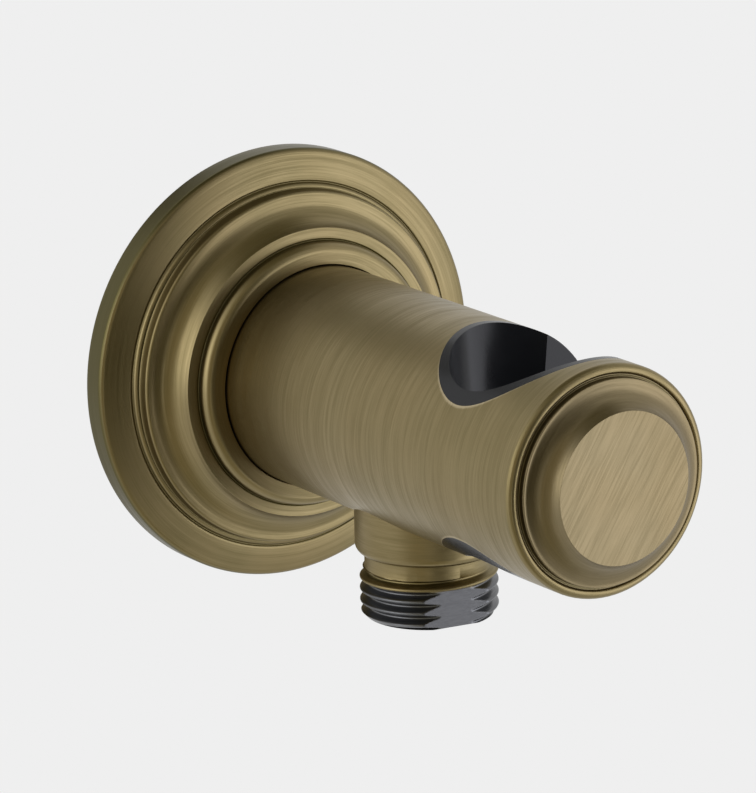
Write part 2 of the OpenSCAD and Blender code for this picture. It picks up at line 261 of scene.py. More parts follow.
class EffectGroups:
    """The shader effects that several materials share, each built once as a node group."""

    GRAIN_OUTPUTS = {"Lines": "NodeSocketFloat", "Bands": "NodeSocketFloat", "Height": "NodeSocketFloat"}
    GRAIN_ROUGHNESS = 0.65
    TURNED_BAND_RATE = 0.22
    STRAIGHT_BAND_RATE = 0.4
    LINE_RANGE = (0.33, 0.67)
    BAND_RANGE = (0.3, 0.7)
    RECESS_REACH = 3.0 * MM
    RECESS_FADE = 0.45
    RECESS_RUFFLE = 0.12
    EDGE_REACH = 0.45 * MM
    EDGE_RANGE = (0.56, 0.82)
    EDGE_RUFFLE = 0.1
    AO_SAMPLES = 8

    def __init__(self) -> None:
        """Builds every group."""
        self.turned_grain = self._turned_grain()
        self.straight_grain = self._straight_grain()
        self.relief = self._relief()
        self.mottle = self._mottle()

    @staticmethod
    def _open(name: str, inputs: dict[str, str], outputs: dict[str, str]
              ) -> tuple[NodeTree, bpy.types.Node, bpy.types.Node]:
        """Starts a group with named sockets.

        Args:
            name: The group's name.
            inputs: Input names and their socket types.
            outputs: Output names and their socket types.

        Returns:
            The helper, the group's input node and its output node.
        """
        tree = bpy.data.node_groups.new(name, "ShaderNodeTree")
        for label, kind in inputs.items():
            tree.interface.new_socket(name=label, in_out="INPUT", socket_type=kind)
        for label, kind in outputs.items():
            tree.interface.new_socket(name=label, in_out="OUTPUT", socket_type=kind)
        helper = NodeTree(tree)
        return helper, helper.add("NodeGroupInput"), helper.add("NodeGroupOutput")

    @staticmethod
    def place(nodes: NodeTree, group: bpy.types.NodeTree, **values: object) -> bpy.types.Node:
        """Places a group in a material.

        Args:
            nodes: The material's helper.
            group: The group.
            values: Values or sockets for the inputs, with _ for a space in a name.

        Returns:
            The group node.
        """
        node = nodes.add("ShaderNodeGroup", node_tree=group)
        for name, value in values.items():
            nodes.put(node.inputs[name.replace("_", " ")], value)
        return node

    def _turned_grain(self) -> bpy.types.NodeTree:
        """Brush lines that run round a turning axis, on its walls and its faces alike.

        Returns:
            The group, whose Position input has the turning axis along Z.
        """
        inputs = {"Position": "NodeSocketVector", "Line Density": "NodeSocketFloat",
                  "Arc Density": "NodeSocketFloat"}
        nodes, given, out = self._open("Turned grain", inputs, self.GRAIN_OUTPUTS)
        place = nodes.add("ShaderNodeSeparateXYZ")
        nodes.put(place.inputs[0], given.outputs["Position"])
        flat = nodes.add("ShaderNodeCombineXYZ")
        nodes.put(flat.inputs[0], place.outputs[0])
        nodes.put(flat.inputs[1], place.outputs[1])
        radius = nodes.vector("LENGTH", flat.outputs[0]).outputs["Value"]
        heading = nodes.vector("NORMALIZE", flat.outputs[0]).outputs["Vector"]
        along_arc = nodes.scale(heading, given.outputs["Arc Density"])
        across = nodes.math("MULTIPLY", place.outputs[2], given.outputs["Line Density"])
        rise = nodes.add("ShaderNodeCombineXYZ")
        nodes.put(rise.inputs[2], across)
        point = nodes.vector("ADD", along_arc, rise.outputs[0]).outputs["Vector"]
        outward = nodes.math("MULTIPLY", radius, given.outputs["Line Density"])
        fine = nodes.noise(point, 1.0, 3.0, outward, self.GRAIN_ROUGHNESS)
        slow_point = nodes.scale(point, self.TURNED_BAND_RATE)
        slow_out = nodes.math("MULTIPLY", outward, self.TURNED_BAND_RATE)
        bands = nodes.noise(slow_point, 1.0, 2.0, slow_out)
        return self._give_grain(nodes, out, fine, bands)

    def _straight_grain(self) -> bpy.types.NodeTree:
        """Brush lines that run straight along the X axis of the given position.

        Returns:
            The group.
        """
        inputs = {"Position": "NodeSocketVector", "Line Density": "NodeSocketFloat",
                  "Stroke Density": "NodeSocketFloat"}
        nodes, given, out = self._open("Straight grain", inputs, self.GRAIN_OUTPUTS)
        place = nodes.add("ShaderNodeSeparateXYZ")
        nodes.put(place.inputs[0], given.outputs["Position"])
        point = nodes.add("ShaderNodeCombineXYZ")
        for index, density in enumerate(("Stroke Density", "Line Density", "Line Density")):
            nodes.put(point.inputs[index],
                      nodes.math("MULTIPLY", place.outputs[index], given.outputs[density]))
        fine = nodes.noise(point.outputs[0], 1.0, 3.0, None, self.GRAIN_ROUGHNESS)
        bands = nodes.noise(nodes.scale(point.outputs[0], self.STRAIGHT_BAND_RATE), 1.0, 2.0)
        return self._give_grain(nodes, out, fine, bands)

    def _give_grain(self, nodes: NodeTree, out: bpy.types.Node, fine: bpy.types.NodeSocket,
                    bands: bpy.types.NodeSocket) -> bpy.types.NodeTree:
        """Feeds the outputs of a grain group.

        Args:
            nodes: The group's helper.
            out: The group's output node.
            fine: The noise of the fine lines.
            bands: The noise of the broader bands.

        Returns:
            The group.
        """
        nodes.put(out.inputs["Lines"], nodes.ramp(fine, *self.LINE_RANGE))
        nodes.put(out.inputs["Bands"], nodes.ramp(bands, *self.BAND_RANGE))
        nodes.put(out.inputs["Height"], fine)
        return nodes.tree

    def _relief(self) -> bpy.types.NodeTree:
        """Where patina stays in the recesses and where brushing has bared the edges; the bright bared
        edges also stand as painted highlight lines.

        Returns:
            The group.
        """
        nodes, given, out = self._open(
            "Relief",
            {"Recess Start": "NodeSocketFloat", "Noise": "NodeSocketFloat"},
            {"Recess": "NodeSocketFloat", "Bare Edge And Highlight": "NodeSocketFloat"},
        )
        shut = {}
        for name, reach, ruffle in (("Recess", self.RECESS_REACH, self.RECESS_RUFFLE),
                                    ("Bare Edge And Highlight", self.EDGE_REACH, self.EDGE_RUFFLE)):
            around = nodes.add("ShaderNodeAmbientOcclusion", samples=self.AO_SAMPLES, only_local=True,
                               inside=name == "Bare Edge And Highlight")
            around.inputs["Distance"].default_value = reach
            closed = nodes.math("SUBTRACT", 1.0, around.outputs["AO"])
            ruffled = nodes.math("MULTIPLY", given.outputs["Noise"], ruffle)
            shut[name] = nodes.math("ADD", closed, ruffled)
        start = nodes.math("SUBTRACT", shut["Recess"], given.outputs["Recess Start"])
        nodes.put(out.inputs["Recess"], nodes.ramp(start, 0.0, self.RECESS_FADE))
        # Painted highlight: convex edges get the bright colour, both for brushed-through wear and for the
        # highlight lines along the arrises.
        nodes.put(out.inputs["Bare Edge And Highlight"], nodes.ramp(shut["Bare Edge And Highlight"], *self.EDGE_RANGE))
        return nodes.tree

    def _mottle(self) -> bpy.types.NodeTree:
        """Slow cloudy changes over a surface.

        Returns:
            The group.
        """
        nodes, given, out = self._open(
            "Mottle",
            {"Position": "NodeSocketVector", "Density": "NodeSocketFloat"},
            {"Cloud": "NodeSocketFloat"},
        )
        cloud = nodes.noise(nodes.scale(given.outputs["Position"], given.outputs["Density"]), 1.0, 3.0)
        nodes.put(out.inputs["Cloud"], nodes.ramp(cloud, *self.BAND_RANGE))
        return nodes.tree


@dataclass(frozen=True)
class AntiqueBrass:
    """Brass that was patinated dark and then brushed back, so that the recesses stay dark."""

    name: str
    lay: Lay
    patina: Colour = (0.080, 0.072, 0.026)
    brushed: Colour = (0.255, 0.203, 0.098)
    bright: Colour = (0.48, 0.40, 0.25)
    warm: Colour = (0.29, 0.20, 0.09)
    plating_dark: Colour = (0.125, 0.127, 0.132)
    plating_light: Colour = (0.15, 0.152, 0.158)
    plating_roughness: tuple[float, float] = (0.33, 0.29)
    contrast: float = 0.8
    dark_share: float = 0.45
    light_share: float = 0.16
    band_share: float = 0.45
    cloud_share: float = 0.25
    cloud_density: float = 90.0
    warm_share: float = 0.15
    warm_density: float = 55.0
    recess_start: float = 0.22
    recess_share: float = 0.85
    line_density: float = 6500.0
    arc_density: float = 2.6
    grain_depth: float = 0.004 * MM
    roughness: float = 0.36
    duller: float = 0.08
    smoother: float = 0.06
    anisotropy: float = 0.55
    stroke_angle: float = 57.0
    stroke_density: float = 170.0
    disc_depth: float = 0.05 * MM
    thread_from: float | None = None
    thread_fade: float = 0.15 * MM
    thread_grain: float = 0.15
    # Painted shade on the outer wall, from this radius outward, towards the patina colour.
    shaded_wall_from: float | None = None
    shaded_wall_fade: float = 0.35 * MM
    wall_shade_share: float = 0.85

    def position(self, nodes: NodeTree) -> bpy.types.NodeSocket:
        """The surface point, turned so that the lay's axis is the one its group expects.

        Args:
            nodes: The material's helper.

        Returns:
            The position.
        """
        turn = nodes.add("ShaderNodeMapping", vector_type="POINT")
        nodes.put(turn.inputs["Vector"], nodes.surface_point())
        if self.lay is Lay.ROUND_OUTLET:
            turn.inputs["Location"].default_value = (0, OUTLET_REACH, 0)
        else:
            turn.inputs["Rotation"].default_value = (math.radians(90), 0, 0)
        return turn.outputs["Vector"]

    def grain(self, nodes: NodeTree, groups: EffectGroups, position: bpy.types.NodeSocket
              ) -> tuple[bpy.types.NodeSocket, bpy.types.NodeSocket, bpy.types.NodeSocket]:
        """Places the grain groups that suit the lay.

        Args:
            nodes: The material's helper.
            groups: The shared effects.
            position: The turned position.

        Returns:
            The fine lines, the broader bands and the height.
        """
        turned = groups.place(nodes, groups.turned_grain, Position=position,
                              Line_Density=self.line_density, Arc_Density=self.arc_density)
        if self.lay is not Lay.CAP:
            return turned.outputs["Lines"], turned.outputs["Bands"], turned.outputs["Height"]
        stroke = nodes.add("ShaderNodeMapping", vector_type="POINT")
        nodes.put(stroke.inputs["Vector"], nodes.surface_point())
        stroke.inputs["Rotation"].default_value = (0, math.radians(self.stroke_angle), 0)
        straight = groups.place(nodes, groups.straight_grain, Position=stroke.outputs["Vector"],
                                Line_Density=self.line_density, Stroke_Density=self.stroke_density)
        disc = self.on_disc(nodes)
        lines, bands, height = (nodes.between(disc, turned.outputs[name], straight.outputs[name])
                                for name in groups.GRAIN_OUTPUTS)
        return lines, bands, height

    def on_disc(self, nodes: NodeTree) -> bpy.types.NodeSocket:
        """Where the cap's flat front disc is."""
        return nodes.math("LESS_THAN", nodes.axis(nodes.surface_point(), 1), self.disc_depth - DISC_REACH)

    def on_shaded_wall(self, nodes: NodeTree, position: bpy.types.NodeSocket) -> bpy.types.NodeSocket:
        """Where the outer wall is, which is given painted shade: its colour is darkened towards the
        patina.

        Args:
            nodes: The material's helper.
            position: The turned position.

        Returns:
            A high value on the outer wall and nothing inside it.
        """
        flat = nodes.vector("MULTIPLY", position, (1.0, 1.0, 0.0)).outputs["Vector"]
        radius = nodes.vector("LENGTH", flat).outputs["Value"]
        return nodes.ramp(radius, self.shaded_wall_from, self.shaded_wall_from + self.shaded_wall_fade, 0.0, self.wall_shade_share)

    def toned(self, nodes: NodeTree, groups: EffectGroups, position: bpy.types.NodeSocket,
              grain: bpy.types.NodeSocket, relief: bpy.types.Node) -> bpy.types.NodeSocket:
        """The colour of the brass, from dark patina in the recesses to bare edges, with painted shade on
        the outer wall and painted highlight lines on the edges.

        Args:
            nodes: The material's helper.
            groups: The shared effects.
            position: The turned position.
            grain: How bare the grain leaves the surface.
            relief: The placed relief group.

        Returns:
            The colour.
        """
        dark, light = self.dark_share * self.contrast, self.light_share * self.contrast
        darker = tuple((1 - dark) * b + dark * a for a, b in zip(self.patina, self.brushed))
        lighter = tuple((1 - light) * a + light * b for a, b in zip(self.brushed, self.bright))
        cloud = groups.place(nodes, groups.mottle, Position=position, Density=self.cloud_density)
        tone = nodes.math("MULTIPLY_ADD", cloud.outputs["Cloud"], self.cloud_share,
                          nodes.math("MULTIPLY", grain, 1 - self.cloud_share))
        colour = nodes.blend(tone, darker, lighter)
        patch = groups.place(nodes, groups.mottle, Position=position, Density=self.warm_density)
        warmed = nodes.math("MULTIPLY", patch.outputs["Cloud"], self.warm_share)
        colour = nodes.blend(warmed, colour, self.warm)
        recess = nodes.math("MULTIPLY", relief.outputs["Recess"], self.recess_share)
        colour = nodes.blend(recess, colour, self.patina)
        # Painted shade: the outer wall is darkened towards the patina colour.
        if self.shaded_wall_from is not None:
            colour = nodes.blend(self.on_shaded_wall(nodes, position), colour, self.patina)
        # Bare edges take the bright colour, which also paints highlight lines on them.
        return nodes.blend(relief.outputs["Bare Edge And Highlight"], colour, self.bright)

    def tangent(self, nodes: NodeTree) -> bpy.types.NodeSocket:
        """The direction of the brush strokes.

        Args:
            nodes: The material's helper.

        Returns:
            The tangent.
        """
        axis = "Z" if self.lay is Lay.ROUND_OUTLET else "Y"
        round_axis = nodes.add("ShaderNodeTangent", direction_type="RADIAL", axis=axis).outputs[0]
        if self.lay is not Lay.CAP:
            return round_axis
        angle = math.radians(self.stroke_angle)
        mix = nodes.add("ShaderNodeMix", data_type="VECTOR")
        nodes.put(mix.inputs[0], self.on_disc(nodes))
        nodes.put(mix.inputs[4], round_axis)
        nodes.put(mix.inputs[5], (math.cos(angle), 0.0, math.sin(angle)))
        return mix.outputs[1]

    def make(self, groups: EffectGroups) -> bpy.types.Material:
        """Builds the material.

        Args:
            groups: The shared effects.

        Returns:
            The material.
        """
        material, nodes, shader = new_material(self.name)
        position = self.position(nodes)
        lines, bands, height = self.grain(nodes, groups, position)
        relief = groups.place(nodes, groups.relief, Recess_Start=self.recess_start, Noise=lines)
        grain = nodes.math("MULTIPLY_ADD", bands, self.band_share,
                           nodes.math("MULTIPLY", lines, 1 - self.band_share))
        colour = self.toned(nodes, groups, position, grain, relief)
        rough = nodes.ramp(grain, 0.0, 1.0, self.roughness + self.duller,
                           self.roughness - self.smoother)
        if self.thread_from is not None:
            colour, rough, height = self._dark_thread(nodes, colour, rough, lines, height)
        nodes.put(shader.inputs["Base Color"], colour)
        nodes.put(shader.inputs["Roughness"], rough)
        nodes.bump(shader, height, self.grain_depth)
        shader.inputs["Metallic"].default_value = 1.0
        shader.inputs["Anisotropic"].default_value = self.anisotropy
        nodes.put(shader.inputs["Tangent"], self.tangent(nodes))
        return material

    def _dark_thread(self, nodes: NodeTree, colour: bpy.types.NodeSocket, rough: bpy.types.NodeSocket,
                     lines: bpy.types.NodeSocket, height: bpy.types.NodeSocket
                     ) -> tuple[bpy.types.NodeSocket, bpy.types.NodeSocket, bpy.types.NodeSocket]:
        """Turns the surface to smoother, dark plating below a height.

        Args:
            nodes: The material's helper.
            colour: The brass colour.
            rough: The brass roughness.
            lines: The grain's lines.
            height: The grain's height.

        Returns:
            The colour, the roughness and the height.
        """
        spot = nodes.axis(nodes.surface_point(), 2)
        top, foot = self.thread_from + self.thread_fade, self.thread_from - self.thread_fade
        below = nodes.ramp(spot, top, foot)
        plating = nodes.blend(lines, self.plating_dark, self.plating_light)
        plating_rough = nodes.ramp(lines, 0.0, 1.0, *self.plating_roughness)
        shallow = nodes.math("MULTIPLY", height, nodes.ramp(spot, foot, top, self.thread_grain, 1.0))
        return nodes.blend(below, colour, plating), nodes.between(below, rough, plating_rough), shallow


@dataclass(frozen=True)
class Moulding:
    """Moulded plastic or rubber."""

    name: str
    colour: Colour
    roughness: float
    gloss_spread: float = 0.05
    grain_depth: float = 0.01 * MM
    grain_density: float = 2500.0
    specular: float = 0.5
    cloud_density: float = 140.0
    darkest: float = 0.82

    def make(self, groups: EffectGroups) -> bpy.types.Material:
        """Builds the material.

        Args:
            groups: The shared effects.

        Returns:
            The material.
        """
        material, nodes, shader = new_material(self.name)
        position = nodes.surface_point()
        cloud = groups.place(nodes, groups.mottle, Position=position, Density=self.cloud_density)
        skin = groups.place(nodes, groups.mottle, Position=position, Density=self.grain_density)
        darker = tuple(self.darkest * c for c in self.colour)
        nodes.put(shader.inputs["Base Color"], nodes.blend(cloud.outputs["Cloud"], darker, self.colour))
        nodes.put(shader.inputs["Roughness"],
                  nodes.ramp(cloud.outputs["Cloud"], 0.0, 1.0, self.roughness,
                             self.roughness + self.gloss_spread))
        shader.inputs["Specular IOR Level"].default_value = self.specular
        nodes.bump(shader, skin.outputs["Cloud"], self.grain_depth)
        return material


@dataclass(frozen=True)
class TurnedMetal:
    """Plain turned or drawn metal with fine tool marks."""

    name: str
    colour: Colour
    roughness: float
    line_density: float = 6000.0
    arc_density: float = 1.5
    grain_depth: float = 0.004 * MM
    darkest: float = 0.78
    duller: float = 0.06
    smoother: float = 0.04

    def make(self, groups: EffectGroups) -> bpy.types.Material:
        """Builds the material.

        Args:
            groups: The shared effects.

        Returns:
            The material.
        """
        material, nodes, shader = new_material(self.name)
        turn = nodes.add("ShaderNodeMapping", vector_type="POINT")
        turn.inputs["Rotation"].default_value = (math.radians(90), 0, 0)
        nodes.put(turn.inputs["Vector"], nodes.surface_point())
        grain = groups.place(nodes, groups.turned_grain, Position=turn.outputs["Vector"],
                             Line_Density=self.line_density, Arc_Density=self.arc_density)
        darker = tuple(self.darkest * c for c in self.colour)
        nodes.put(shader.inputs["Base Color"], nodes.blend(grain.outputs["Bands"], darker, self.colour))
        nodes.put(shader.inputs["Roughness"],
                  nodes.ramp(grain.outputs["Lines"], 0.0, 1.0, self.roughness + self.duller,
                             self.roughness - self.smoother))
        shader.inputs["Metallic"].default_value = 1.0
        nodes.bump(shader, grain.outputs["Height"], self.grain_depth)
        return material


def new_material(name: str) -> tuple[bpy.types.Material, NodeTree, bpy.types.Node]:
    """Starts a material that holds one Principled shader.

    Args:
        name: The material's name.

    Returns:
        The material, its helper and the shader node.
    """
    material = bpy.data.materials.new(name)
    material.use_nodes = True
    nodes = NodeTree(material.node_tree)
    return material, nodes, material.node_tree.nodes["Principled BSDF"]


def solid(name: str, points: list[Vector] | list[tuple[float, float, float]],
          faces: list[tuple[int, ...]], corner: float, turn_out: bool = True) -> bpy.types.Object:
    """Makes a smooth-shaded object from a closed mesh.

    Args:
        name: The object's name.
        points: The vertices, in the row frame.
        faces: The faces.
        corner: The angle in degrees from which an edge stays sharp.
        turn_out: Whether the faces still have to be turned outward.

    Returns:
        The object.
    """
    mesh = bpy.data.meshes.new(name)
    mesh.from_pydata(points, [], faces)
    mesh.validate()
    if turn_out:
        shape = bmesh.new()
        shape.from_mesh(mesh)
        bmesh.ops.recalc_face_normals(shape, faces=shape.faces)
        shape.to_mesh(mesh)
        shape.free()
    mesh.update()
    piece = bpy.data.objects.new(name, mesh)
    bpy.context.scene.collection.objects.link(piece)
    for polygon in mesh.polygons:
        polygon.use_smooth = True
    mesh.set_sharp_from_angle(angle=math.radians(corner))
    return piece


def belt(low: int, high: int, count: int) -> list[tuple[int, ...]]:
    """The faces between two rings of vertices."""
    return [(low + j, low + (j + 1) % count, high + (j + 1) % count, high + j) for j in range(count)]


def caps(count: int, rings: int) -> list[tuple[int, ...]]:
    """The two end faces of a row of rings."""
    return [tuple(range(count)), tuple(reversed(range((rings - 1) * count, rings * count)))]


@dataclass(frozen=True)
class PipeThread:
    """A half-inch parallel pipe thread with its rounded 55 degree form."""

    crest_r: float = 10.4775 * MM
    pitch: float = 1.814 * MM
    rounding: float = 0.249 * MM
    flank: float = math.radians(27.5)

    def radius(self, offset: float) -> float:
        """The thread's radius beside its crest.

        Args:
            offset: Distance from the nearest crest along the axis.

        Returns:
            The radius there.
        """
        edge = self.rounding * math.cos(self.flank)
        drop = self.rounding * (1 - math.sin(self.flank))
        if offset <= edge:
            return self.crest_r - self.rounding + math.sqrt(self.rounding ** 2 - offset ** 2)
        half = self.pitch / 2
        if offset >= half - edge:
            below = half - offset
            depth = 2 * drop + (half - 2 * edge) / math.tan(self.flank)
            return self.crest_r - depth + self.rounding - math.sqrt(self.rounding ** 2 - below ** 2)
        return self.crest_r - drop - (offset - edge) / math.tan(self.flank)

    def at(self, height: float, turn: float, crest_height: float) -> float:
        """The thread's radius at a point."""
        phase = ((height - crest_height) / self.pitch - turn) % 1.0
        return self.radius(min(phase, 1.0 - phase) * self.pitch)


@dataclass
class ThreadedPiece:
    """A turned piece with a real helical thread on part of its outside.

    The outside and the bore are outlines of (radius, height) with the turning axis along Z.
    """

    name: str
    outside: Outline
    bore: Outline
    thread: PipeThread
    thread_low: float
    thread_high: float
    crest_height: float
    place: Matrix
    flat_reach: float | None = None
    flat_heading: float = 0.0
    flat_below: float = 0.0
    columns: int = 256
    thread_row: float = 0.075 * MM
    corner: float = 35.0

    def _rows(self) -> list[tuple[float, float, bool]]:
        """The closed outline, with extra rows where the thread runs.

        Returns:
            Rows of radius, height and whether the thread cuts the row.
        """
        rows: list[tuple[float, float, bool]] = []
        for (r0, h0), (r1, h1) in zip(self.outside, self.outside[1:]):
            threaded = min(h0, h1) >= self.thread_low - 1e-9 and max(h0, h1) <= self.thread_high + 1e-9
            steps = max(1, round(abs(h1 - h0) / self.thread_row)) if threaded else 1
            for i in range(steps):
                t = i / steps
                rows.append((r0 + (r1 - r0) * t, h0 + (h1 - h0) * t, threaded))
        rows.append((*self.outside[-1], False))
        rows.extend((r, h, False) for r, h in self.bore)
        return rows

    def _point(self, r: float, h: float, threaded: bool, turn: float) -> Vector:
        """One vertex of the piece.

        Args:
            r: The outline's radius.
            h: The outline's height.
            threaded: Whether the thread cuts the row.
            turn: Angle round the axis, in turns.

        Returns:
            The vertex in the piece's own frame.
        """
        if threaded:
            r = min(r, self.thread.at(h, turn, self.crest_height))
        angle = 2 * math.pi * turn
        if self.flat_reach is not None and h < self.flat_below:
            facing = math.cos(angle - self.flat_heading)
            if facing > 0:
                r = min(r, self.flat_reach / facing)
        return Vector((r * math.cos(angle), r * math.sin(angle), h))

    def build(self) -> bpy.types.Object:
        """Builds the mesh.

        Returns:
            The new object, in the row frame.
        """
        rows = self._rows()
        count, total = self.columns, len(rows)
        points = [self.place @ self._point(r, h, cut, j / count)
                  for r, h, cut in rows for j in range(count)]
        faces: list[tuple[int, ...]] = []
        for i in range(total):
            faces += belt(i * count, (i + 1) % total * count, count)
        return solid(self.name, points, faces, self.corner, turn_out=False)


def arc(centre: tuple[float, float], radius: float, start: float, end: float, steps: int = 8) -> Outline:
    """Points on an arc of an outline."""
    angles = [math.radians(start + (end - start) * i / steps) for i in range(steps + 1)]
    return [(centre[0] + radius * math.cos(a), centre[1] + radius * math.sin(a)) for a in angles]


def soften(outline: Outline, reach: float, steps: int = 4) -> Outline:
    """Rounds the corners of an outline a little, as brushing does.

    Args:
        outline: The outline.
        reach: How far the rounding goes along each side of a corner.
        steps: Number of straight pieces in a rounding.

    Returns:
        The outline with its corners rounded and its two ends kept.
    """
    points = [Vector(point) for point in outline]
    soft = [points[0]]
    for before, corner, after in zip(points, points[1:], points[2:]):
        back, ahead = before - corner, after - corner
        if back.length < 1e-9 or ahead.length < 1e-9 or back.angle(-ahead) < math.radians(12):
            soft.append(corner)
            continue
        start = corner + back.normalized() * min(reach, 0.42 * back.length)
        end = corner + ahead.normalized() * min(reach, 0.42 * ahead.length)
        for i in range(steps + 1):
            t = i / steps
            soft.append(start.lerp(corner, t).lerp(corner.lerp(end, t), t))
    soft.append(points[-1])
    return [(point.x, point.y) for point in soft]


def cove(foot: tuple[float, float], top: tuple[float, float], start: float = 0, end: float = 75,
         steps: int = 16) -> Outline:
    """Points of a hollow curve that steepens from its foot to its top.

    Args:
        foot: Radius and height of the foot.
        top: Radius and height of the top.
        start: The slope at the foot, in degrees.
        end: The slope at the top, in degrees.
        steps: Number of straight pieces.

    Returns:
        The points.
    """
    low, high = math.radians(start), math.radians(end)
    points = []
    for i in range(steps + 1):
        a = low + (high - low) * i / steps
        inward = (math.sin(a) - math.sin(low)) / (math.sin(high) - math.sin(low))
        rise = (math.cos(low) - math.cos(a)) / (math.cos(low) - math.cos(high))
        points.append((foot[0] + (top[0] - foot[0]) * inward, foot[1] + (top[1] - foot[1]) * rise))
    return points


@dataclass
class TurnedPiece:
    """A plain turned piece, from an outline of (radius, height) along the barrel.

    The outline is closed on itself, or ends in two flat discs where the piece has no bore.
    """

    name: str
    outline: Outline
    has_bore: bool
    columns: int = 288
    corner: float = 40.0

    def build(self) -> bpy.types.Object:
        """Builds the mesh.

        Returns:
            The new object, in the row frame.
        """
        count, total = self.columns, len(self.outline)
        turns = [2 * math.pi * j / count for j in range(count)]
        points = [(r * math.cos(a), -h, r * math.sin(a)) for r, h in self.outline for a in turns]
        faces: list[tuple[int, ...]] = []
        for i in range(total if self.has_bore else total - 1):
            faces += belt((i + 1) % total * count, i * count, count)
        if not self.has_bore:
            faces += caps(count, total)
        return solid(self.name, points, faces, self.corner)


def dress(node: str, material: bpy.types.Material) -> None:
    """Gives a carried-over CAD node its material.

    Args:
        node: The node's name.
        material: The material.
    """
    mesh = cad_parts[node].data
    mesh.materials.clear()
    mesh.materials.append(material)
    LOG.info("dressed %s in %s", node, material.name)


@dataclass
class Finishes:
    """Every material of the object, built once."""

    groups: EffectGroups = field(default_factory=EffectGroups)

    def __post_init__(self) -> None:
        """Builds the materials."""
        make = self.groups
        self.barrel = AntiqueBrass("Barrel brass", Lay.ROUND_BARREL).make(make)
        # The escutcheon's outer wall gets painted shade.
        self.flange = AntiqueBrass("Escutcheon brass", Lay.ROUND_BARREL, shaded_wall_from=33.5 * MM).make(make)
        self.cap = AntiqueBrass("Cap brass", Lay.CAP, brushed=(0.21, 0.168, 0.094), contrast=0.42,
                                grain_depth=0.0018 * MM).make(make)
        self.outlet = AntiqueBrass("Outlet brass", Lay.ROUND_OUTLET, thread_from=-24.95 * MM).make(make)
        self.raw = TurnedMetal("Raw brass", (0.66, 0.50, 0.22), 0.3).make(make)
        self.steel = TurnedMetal("Drawn steel", (0.56, 0.56, 0.57), 0.28).make(make)
        self.liner = Moulding("Black liner", (0.009, 0.0095, 0.011), 0.22, grain_depth=0.003 * MM,
                              grain_density=900.0, specular=0.28).make(make)
        self.white = Moulding("White moulding", (0.72, 0.72, 0.69), 0.42).make(make)
        self.rubber = Moulding("Rubber", (0.018, 0.018, 0.019), 0.58).make(make)


@dataclass
class BarrelGroup:
    """The barrel with its end cap and the holder's liner."""

    cap_r: float = 15.83 * MM
    cap_back: float = 86.4 * MM
    groove_h: float = 87.75 * MM
    ring_r: float = 15.34 * MM
    ring_h: float = 88.68 * MM
    ring_w: float = 0.3 * MM
    disc_r: float = 11.3 * MM
    cove_start: float = 16.0
    cove_end: float = 72.0

    def build(self, finishes: Finishes) -> bpy.types.Object:
        """Builds the end cap, and gives the other pieces their materials.

        Args:
            finishes: The object's materials.

        Returns:
            The end cap.
        """
        rim = soften([
            (self.cap_r - 0.4 * MM, self.cap_back),
            (self.cap_r, self.cap_back + 0.4 * MM),
            (self.cap_r, self.groove_h),
            (self.ring_r, self.groove_h - 0.1 * MM),
            (self.ring_r, self.ring_h),
            (self.ring_r - self.ring_w, self.ring_h + 0.02 * MM),
        ], 0.2 * MM)
        hollow = cove((self.ring_r - self.ring_w - 0.05 * MM, self.ring_h + 0.02 * MM),
                      (self.disc_r, DISC_REACH - 0.02 * MM), self.cove_start, self.cove_end)
        arris = soften([hollow[-1], (self.disc_r - 0.01 * MM, DISC_REACH),
                        (self.disc_r - 0.5 * MM, DISC_REACH)], 0.1 * MM)
        outline = rim + hollow[:-1] + arris
        piece = TurnedPiece("turned_end_cap", outline, has_bore=False).build()
        piece.data.materials.append(finishes.cap)
        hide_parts("end_cap")
        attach(piece, "fitting")
        dress("barrel", finishes.barrel)
        dress("holder_liner", finishes.liner)
        LOG.info("built %s with %d faces", piece.name, len(piece.data.polygons))
        return piece


